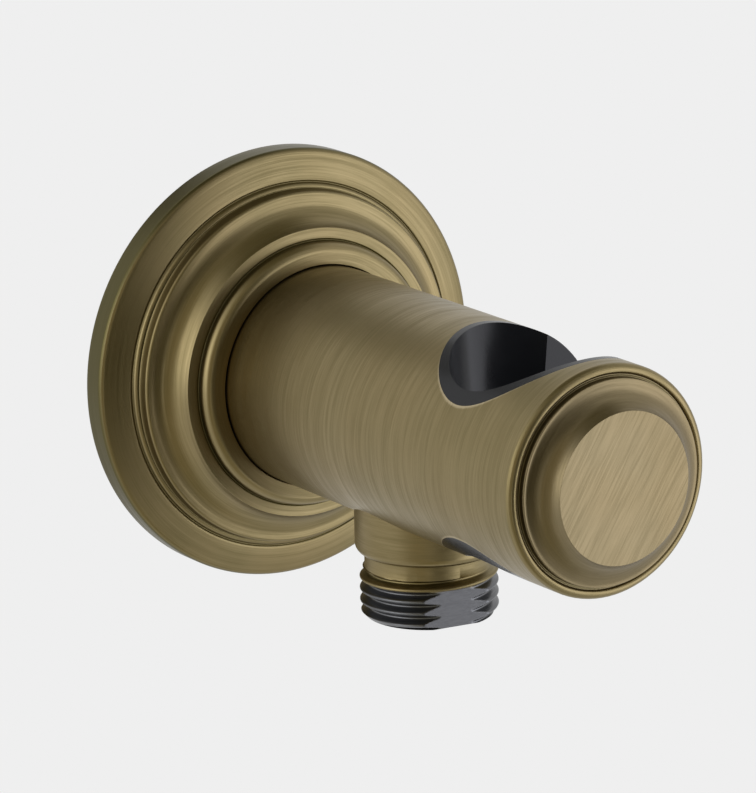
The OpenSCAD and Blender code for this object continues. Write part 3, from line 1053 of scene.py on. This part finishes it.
@dataclass
class EscutcheonGroup:
    """The sliding escutcheon with its grip ring and its wall seal."""

    flange_r: float = 33.9 * MM
    edge_h: float = 4.1 * MM
    edge_round: float = 0.95 * MM
    face_h: float = 5.05 * MM
    tier_r: float = 27.75 * MM
    tier_h: float = 7.3 * MM
    tier_round: float = 0.5 * MM
    ledge_r: float = 22.75 * MM
    ledge_h: float = 11.15 * MM
    bead_r: float = 1.65 * MM
    bead_centre_r: float = 19.1 * MM
    bore_r: float = 17.55 * MM
    lip_r: float = 17.4 * MM
    lip_l: float = 1.6 * MM
    top_h: float = 13.4 * MM
    grip_h: float = 9.0 * MM
    grip_groove_r: float = 0.9 * MM
    back_mm: tuple[tuple[float, float], ...] = (
        (17.55, 5.0), (21.05, 5.0), (21.05, 8.65), (22.05, 8.65), (23.95, 6.4), (25.75, 5.3),
        (25.75, 3.1), (29.4, 3.1), (29.4, 1.6), (32.6, 1.6), (32.6, 0.0),
    )

    def _face(self) -> Outline:
        """The stepped face, from the rear edge to the bore.

        Returns:
            The outline.
        """
        bead_outer_r = self.bead_centre_r + self.bead_r
        steps = [(self.flange_r, 0.0)]
        steps += arc((self.flange_r - self.edge_round, self.edge_h - self.edge_round),
                     self.edge_round, 0, 76)
        steps += soften([
            (self.tier_r + 5.0 * MM, self.edge_h + 0.12 * MM),
            (self.tier_r + 1.35 * MM, self.face_h),
            (self.tier_r + 1.05 * MM, self.face_h - 0.3 * MM),
            (self.tier_r + 0.78 * MM, self.face_h + 0.3 * MM),
            (self.tier_r + 0.38 * MM, self.face_h + 0.5 * MM),
            (self.tier_r + 0.2 * MM, self.face_h + 0.44 * MM),
            (self.tier_r + 0.05 * MM, self.tier_h - 1.3 * MM),
        ], 0.3 * MM)
        steps += arc((self.tier_r - self.tier_round, self.tier_h - self.tier_round),
                     self.tier_round, 0, 90, 8)
        steps += cove((self.tier_r - 0.6 * MM, self.tier_h + 0.01 * MM),
                      (self.ledge_r, self.ledge_h - 0.03 * MM))
        steps += soften([
            (self.ledge_r - 0.01 * MM, self.ledge_h - 0.01 * MM),
            (self.ledge_r - 0.2 * MM, self.ledge_h + 0.02 * MM),
            (bead_outer_r + 0.35 * MM, self.ledge_h + 0.1 * MM),
            (bead_outer_r + 0.12 * MM, self.ledge_h - 0.1 * MM),
            (bead_outer_r, self.ledge_h + 0.1 * MM),
        ], 0.12 * MM)
        steps += arc((self.bead_centre_r, self.top_h - self.bead_r), self.bead_r, 0, 88, 14)
        steps += [(self.lip_r + 0.1 * MM, self.top_h), (self.lip_r, self.top_h - 0.1 * MM),
                  (self.lip_r, self.top_h - self.lip_l),
                  (self.bore_r, self.top_h - self.lip_l - 0.15 * MM)]
        return steps

    def _back(self) -> Outline:
        """The bore with its groove for the grip ring, and the hollow back."""
        groove = arc((self.bore_r + 0.65 * MM, self.grip_h), self.grip_groove_r, 136.2, -136.2, 16)
        return groove + [(r * MM, h * MM) for r, h in self.back_mm]

    def build(self, finishes: Finishes) -> bpy.types.Object:
        """Builds the escutcheon, and gives its ring and its seal their materials.

        Args:
            finishes: The object's materials.

        Returns:
            The escutcheon.
        """
        piece = TurnedPiece("turned_escutcheon", self._face() + self._back(), has_bore=True).build()
        piece.data.materials.append(finishes.flange)
        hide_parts("escutcheon")
        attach(piece, "escutcheon")
        dress("escutcheon_grip_ring", finishes.rubber)
        dress("wall_seal", finishes.rubber)
        LOG.info("built %s with %d faces", piece.name, len(piece.data.polygons))
        return piece


@dataclass
class OutletGroup:
    """The threaded hose outlet and its seal."""

    collar_r: float = 11.1 * MM
    collar_drop: float = 20.9 * MM
    collar_round: float = 1.4 * MM
    relief_r: float = 9.7 * MM
    relief_drop: float = 23.1 * MM
    end_drop: float = 30.7 * MM
    lead: float = 0.8 * MM
    seat_drop: float = 12.2 * MM
    spigot_r: float = 8.9 * MM
    spigot_drop: float = 6.0 * MM
    valve_bore_r: float = 7.15 * MM
    valve_drop: float = 18.8 * MM
    bore_r: float = 6.2 * MM
    crest_drop: float = 26.05 * MM
    crest_turn: float = -98 / 360
    flat_reach: float = 8.93 * MM
    flat_heading: float = math.radians(-98)
    flat_drop: float = 24.7 * MM

    def build(self, finishes: Finishes) -> bpy.types.Object:
        """Builds the outlet with its thread.

        Args:
            finishes: The object's materials.

        Returns:
            The outlet.
        """
        thread = PipeThread()
        outside = [
            (self.spigot_r, -self.spigot_drop),
            (self.spigot_r, -self.seat_drop),
            (self.collar_r, -self.seat_drop),
        ]
        outside += arc((self.collar_r - self.collar_round, self.collar_round - self.collar_drop),
                       self.collar_round, 0, -90)
        outside += [
            (self.relief_r, -self.collar_drop),
            (self.relief_r, -self.relief_drop),
            (self.relief_r + 0.02 * MM, -self.relief_drop - 0.1 * MM),
            (thread.crest_r, -self.relief_drop - 0.6 * MM),
            (thread.crest_r, self.lead - self.end_drop),
            (thread.crest_r - self.lead, -self.end_drop),
        ]
        bore = [
            (self.bore_r + 0.3 * MM, -self.end_drop),
            (self.bore_r, 0.3 * MM - self.end_drop),
            (self.bore_r, -self.valve_drop),
            (self.valve_bore_r, -self.valve_drop),
            (self.valve_bore_r, -self.spigot_drop),
        ]
        piece = ThreadedPiece(
            name="outlet_with_thread",
            outside=outside,
            bore=bore,
            thread=thread,
            thread_low=-self.end_drop,
            thread_high=-self.relief_drop,
            crest_height=-self.crest_drop - self.crest_turn * thread.pitch,
            place=Matrix.Translation((0, -OUTLET_REACH, 0)),
            flat_reach=self.flat_reach,
            flat_heading=self.flat_heading,
            flat_below=-self.flat_drop,
        ).build()
        piece.data.materials.append(finishes.outlet)
        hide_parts("outlet_nipple")
        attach(piece, "fitting")
        dress("nipple_seal", finishes.rubber)
        LOG.info("built %s with %d faces", piece.name, len(piece.data.polygons))
        return piece


@dataclass
class WallFixingGroup:
    """The connector that screws into the wall, its seals and the grub screw."""

    thread_l: float = 13.0 * MM
    chamfer: float = 1.0 * MM
    stop_r: float = 13.5 * MM
    stop_h: float = 1.2 * MM
    plug_r: float = 10.9 * MM
    plug_l: float = 27.0 * MM
    bore_r: float = 5.5 * MM
    key_r: float = 6.5 * MM
    key_depth: float = 10.0 * MM
    vee_reach: float = 8.0 * MM
    vee_depth: float = 1.4 * MM
    gland_floor_r: float = 9.2 * MM
    gland_half_w: float = 1.15 * MM
    gland_reaches: tuple[float, float] = (15.0 * MM, 21.0 * MM)
    crest_h: float = 0.9 * MM

    def build(self, finishes: Finishes) -> bpy.types.Object:
        """Builds the connector with its thread.

        Args:
            finishes: The object's materials.

        Returns:
            The connector.
        """
        thread = PipeThread()
        outside = [(self.plug_r - self.chamfer, -self.plug_l), (self.plug_r, self.chamfer - self.plug_l)]
        for reach in reversed(self.gland_reaches):
            front, back = -reach - self.gland_half_w, -reach + self.gland_half_w
            outside += [(self.plug_r, front), (self.gland_floor_r, front)]
            outside += [(self.gland_floor_r, back), (self.plug_r, back)]
        outside += [
            (self.plug_r, -self.vee_reach - self.vee_depth),
            (self.plug_r - self.vee_depth, -self.vee_reach),
            (self.plug_r, self.vee_depth - self.vee_reach),
            (self.plug_r, -self.stop_h),
            (self.stop_r, -self.stop_h),
            (self.stop_r, 0.0),
            (thread.crest_r, 0.0),
            (thread.crest_r, self.thread_l - self.chamfer),
            (thread.crest_r - self.chamfer, self.thread_l),
        ]
        bore = [
            (self.bore_r, self.thread_l),
            (self.bore_r, self.key_depth - self.plug_l),
            (self.key_r, self.key_depth - self.plug_l),
            (self.key_r, -self.plug_l),
        ]
        piece = ThreadedPiece(
            name="connector_with_thread",
            outside=outside,
            bore=bore,
            thread=thread,
            thread_low=0.0,
            thread_high=self.thread_l,
            crest_height=self.crest_h,
            place=Matrix.Rotation(math.radians(-90), 4, "X"),
        ).build()
        piece.data.materials.append(finishes.raw)
        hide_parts("wall_connector")
        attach(piece, "fitting")
        dress("connector_seal_rear", finishes.rubber)
        dress("connector_seal_front", finishes.rubber)
        dress("grub_screw", finishes.steel)
        LOG.info("built %s with %d faces", piece.name, len(piece.data.polygons))
        return piece


@dataclass
class CheckValveGroup:
    """The check valve inside the outlet, with its round-wire spring."""

    spring_r: float = 2.3 * MM
    wire_r: float = 0.225 * MM
    spring_top: float = -10.6 * MM
    spring_foot: float = -15.6 * MM
    lift: float = 2.2 * MM
    turns: float = 5.0
    closed_turns: float = 0.75
    sides: int = 14
    steps_per_turn: int = 44
    corner: float = 50.0

    def _height(self, turn: float) -> float:
        """The wire's middle at a turn, with the end coils closed.

        Args:
            turn: Turns from the foot.

        Returns:
            The height.
        """
        low = self.spring_foot + self.wire_r
        high = self.spring_top - self.wire_r
        closed = self.closed_turns * 2 * self.wire_r
        if turn <= self.closed_turns:
            return low + 2 * self.wire_r * turn
        if turn >= self.turns - self.closed_turns:
            return high - 2 * self.wire_r * (self.turns - turn)
        open_turns = self.turns - 2 * self.closed_turns
        return low + closed + (high - low - 2 * closed) * (turn - self.closed_turns) / open_turns

    def _spring(self, finishes: Finishes) -> bpy.types.Object:
        """Builds the spring.

        Args:
            finishes: The object's materials.

        Returns:
            The spring.
        """
        steps = round(self.turns * self.steps_per_turn)
        points: list[tuple[float, float, float]] = []
        for i in range(steps + 1):
            turn = i / self.steps_per_turn
            angle = 2 * math.pi * turn
            for j in range(self.sides):
                side = 2 * math.pi * j / self.sides
                reach = self.spring_r + self.wire_r * math.cos(side)
                points.append((reach * math.cos(angle), -OUTLET_REACH + reach * math.sin(angle),
                               self._height(turn) + self.wire_r * math.sin(side)))
        faces: list[tuple[int, ...]] = []
        for i in range(steps):
            faces += belt(i * self.sides, (i + 1) * self.sides, self.sides)
        faces += caps(self.sides, steps + 1)
        spring = solid("wire_spring", points, faces, self.corner)
        spring.data.materials.append(finishes.steel)
        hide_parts("valve_spring")
        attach(spring, "fitting")
        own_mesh(spring)
        LOG.info("built %s with %d faces", spring.name, len(spring.data.polygons))
        return spring

    def build(self, finishes: Finishes) -> bpy.types.Object:
        """Builds the spring, and gives the other pieces their materials.

        Args:
            finishes: The object's materials.

        Returns:
            The spring.
        """
        for node in ("valve_housing", "valve_guide", "valve_poppet"):
            dress(node, finishes.white)
        dress("valve_seal", finishes.rubber)
        dress("poppet_washer", finishes.rubber)
        dress("valve_clip", finishes.steel)
        return self._spring(finishes)


@dataclass
class PhotographCamera:
    """The camera, placed as it stood for the photograph."""

    azimuth: float = math.radians(-33.454)
    elevation: float = math.radians(15.232)
    roll: float = math.radians(-1.233)
    place: tuple[float, float, float] = (-407.378 * MM, -645.656 * MM, 201.247 * MM)
    focal_px: float = 5057.015
    long_side_px: float = 793.0
    sensor: float = 36.0
    clip_start: float = 0.01
    clip_end: float = 20.0

    def build(self) -> bpy.types.Object:
        """Makes the camera the scene's own.

        Returns:
            The camera.
        """
        a, e, r = self.azimuth, self.elevation, self.roll
        back = Vector((math.sin(a) * math.cos(e), -math.cos(a) * math.cos(e), math.sin(e)))
        level_right = Vector((math.cos(a), math.sin(a), 0))
        level_up = back.cross(level_right)
        right = math.cos(r) * level_right + math.sin(r) * level_up
        up = -math.sin(r) * level_right + math.cos(r) * level_up
        data = bpy.data.cameras.new("Camera")
        data.sensor_width = self.sensor
        data.lens = self.sensor * self.focal_px / self.long_side_px
        camera = bpy.data.objects.new("Camera", data)
        turn = Matrix((right, up, back)).transposed().to_4x4()
        camera.matrix_world = Matrix.Translation(self.place) @ turn
        data.clip_start = self.clip_start
        data.clip_end = self.clip_end
        bpy.context.scene.collection.objects.link(camera)
        bpy.context.scene.camera = camera
        return camera


def sheet(name: str, width: float, length: float) -> bpy.types.Object:
    """Makes a flat rectangle round its own middle.

    Args:
        name: The object's name.
        width: Its size along X.
        length: Its size along Y.

    Returns:
        The rectangle.
    """
    x, y = width / 2, length / 2
    mesh = bpy.data.meshes.new(name)
    mesh.from_pydata([(-x, -y, 0), (x, -y, 0), (x, y, 0), (-x, y, 0)], [], [(0, 1, 2, 3)])
    piece = bpy.data.objects.new(name, mesh)
    bpy.context.scene.collection.objects.link(piece)
    return piece


@dataclass(frozen=True)
class SoftBox:
    """A soft studio lamp that faces the object."""

    name: str
    place: tuple[float, float, float]
    size: tuple[float, float]
    watts: float
    tint: Colour = (1.0, 1.0, 1.0)

    def build(self) -> bpy.types.Object:
        """Makes the lamp.

        Returns:
            The lamp.
        """
        data = bpy.data.lights.new(self.name, "AREA")
        data.shape = "RECTANGLE"
        data.size, data.size_y = self.size
        data.energy = self.watts
        data.color = self.tint
        lamp = bpy.data.objects.new(self.name, data)
        lamp.location = self.place
        heading = STUDIO_MIDDLE - Vector(self.place)
        lamp.rotation_mode = "QUATERNION"
        lamp.rotation_quaternion = heading.to_track_quat("-Z", "Y")
        bpy.context.scene.collection.objects.link(lamp)
        return lamp


@dataclass(frozen=True)
class Flag:
    """A card beside the object that glows with its dim shade colour and is seen only in the metal's
    reflections: a painted reflection of a darker room in place of the pale one.
    """

    name: str
    place: tuple[float, float, float]
    size: tuple[float, float]
    shade: Colour

    def build(self) -> bpy.types.Object:
        """Makes the card, facing the object.

        Returns:
            The card.
        """
        card = sheet(self.name, *self.size)
        card.location = self.place
        heading = STUDIO_MIDDLE - Vector(self.place)
        card.rotation_mode = "QUATERNION"
        card.rotation_quaternion = heading.to_track_quat("Z", "Y")
        card.visible_camera = False
        card.visible_diffuse = False
        card.visible_shadow = False
        material = bpy.data.materials.new(self.name + " reflection_glow")
        material.use_nodes = True
        shader = material.node_tree.nodes["Principled BSDF"]
        shader.inputs["Base Color"].default_value = (0.0, 0.0, 0.0, 1.0)
        shader.inputs["Specular IOR Level"].default_value = 0.0
        # Painted reflection: the card glows with its shade colour and is seen only by glossy rays.
        shader.inputs["Emission Color"].default_value = (*self.shade, 1.0)
        shader.inputs["Emission Strength"].default_value = 1.0
        card.data.materials.append(material)
        return card


@dataclass
class Studio:
    """The plain floor, the surroundings and the lamps."""

    floor_drop: float = 0.6
    floor_size: float = 6.0
    paper: Colour = (0.863, 0.863, 0.863)
    paper_roughness: float = 0.9
    light_side: tuple[float, float, float] = (0.55, -0.45, 0.70)
    room_span: tuple[float, float] = (-0.9, 0.8)
    room_levels: tuple[float, float] = (0.16, 0.95)

    def build(self) -> None:
        """Builds the studio."""
        self._world()
        self._floor()
        for lamp in self._lamps():
            lamp.build()
            LOG.info("lit by %s", lamp.name)
        for card in self._flags():
            card.build()
            LOG.info("shaded by %s", card.name)

    def _world(self) -> None:
        """Surrounds the object with pale paper, lit as by a room that is dimmer left and behind."""
        world = bpy.data.worlds.new("Studio")
        bpy.context.scene.world = world
        world.use_nodes = True
        nodes = NodeTree(world.node_tree)
        sky = world.node_tree.nodes["Background"]
        toward = nodes.add("ShaderNodeTexCoord").outputs["Generated"]
        side = nodes.vector("DOT_PRODUCT", toward, self.light_side).outputs["Value"]
        level = nodes.ramp(side, *self.room_span, *self.room_levels)
        room = nodes.blend(level, (0.0, 0.0, 0.0), (1.0, 1.0, 1.0))
        nodes.put(sky.inputs["Color"], nodes.blend(self._seen(nodes), room, self.paper))
        sky.inputs["Strength"].default_value = 1.0

    @staticmethod
    def _seen(nodes: NodeTree) -> bpy.types.NodeSocket:
        """Whether the paper is seen straight on, in metal or through glass.

        Args:
            nodes: The helper of the paper's or the world's tree.

        Returns:
            One for such a ray and nothing for the rest.
        """
        rays = nodes.add("ShaderNodeLightPath")
        indirect = nodes.math("MAXIMUM", rays.outputs["Is Glossy Ray"],
                              rays.outputs["Is Transmission Ray"])
        return nodes.math("MAXIMUM", rays.outputs["Is Camera Ray"], indirect)

    def _floor(self) -> None:
        """Lays the floor as a plain pale sheet."""
        floor = sheet("Floor", self.floor_size, self.floor_size)
        floor.location = (0, 0, -self.floor_drop)
        material = bpy.data.materials.new("Floor paper")
        material.use_nodes = True
        tree = material.node_tree
        nodes = NodeTree(tree)
        shader = tree.nodes["Principled BSDF"]
        shader.inputs["Base Color"].default_value = (*self.paper, 1.0)
        shader.inputs["Roughness"].default_value = self.paper_roughness
        glow = nodes.add("ShaderNodeEmission")
        glow.inputs["Color"].default_value = (*self.paper, 1.0)
        mix = nodes.add("ShaderNodeMixShader")
        nodes.put(mix.inputs[0], self._seen(nodes))
        nodes.put(mix.inputs[1], shader.outputs[0])
        nodes.put(mix.inputs[2], glow.outputs[0])
        nodes.put(tree.nodes["Material Output"].inputs["Surface"], mix.outputs[0])
        floor.data.materials.append(material)

    def _lamps(self) -> list[SoftBox]:
        """The studio's lamps.

        Returns:
            The lamps.
        """
        return [
            SoftBox("Key", (0.56, -0.64, -0.08), (0.68, 1.0), 2.7, (0.98, 0.99, 1.10)),
            SoftBox("Left fill", (-0.9, 0.02, 0.2), (0.8, 0.66), 2.3),
        ]

    def _flags(self) -> list[Flag]:
        """The glowing cards that paint darker reflections into the metal.

        Returns:
            The cards.
        """
        return [
            Flag("Front flag", (-0.06, -0.68, 0.1), (0.5, 1.3), (0.09, 0.08, 0.045)),
            Flag("Front left flag", (-0.52, -0.44, 0.05), (0.46, 1.2), (0.42, 0.37, 0.24)),
            Flag("Low flag", (-0.17, -0.36, -0.5), (0.5, 0.55), (0.42, 0.385, 0.25)),
            Flag("Rear flag", (0.0, 0.66, 0.05), (0.34, 1.0), (0.12, 0.11, 0.07)),
            Flag("Top flag", (0.0, -0.04, 0.75), (0.95, 0.95), (0.16, 0.145, 0.075)),
        ]


def main() -> None:
    """Builds the object and its studio."""
    logging.basicConfig(level=logging.INFO, format="%(name)s: %(message)s")
    bpy.context.scene.view_settings.view_transform = "Standard"
    PhotographCamera().build()
    finishes = Finishes()
    BarrelGroup().build(finishes)
    EscutcheonGroup().build(finishes)
    OutletGroup().build(finishes)
    WallFixingGroup().build(finishes)
    CheckValveGroup().build(finishes)
    Studio().build()


if __name__ == "__main__":
    main()
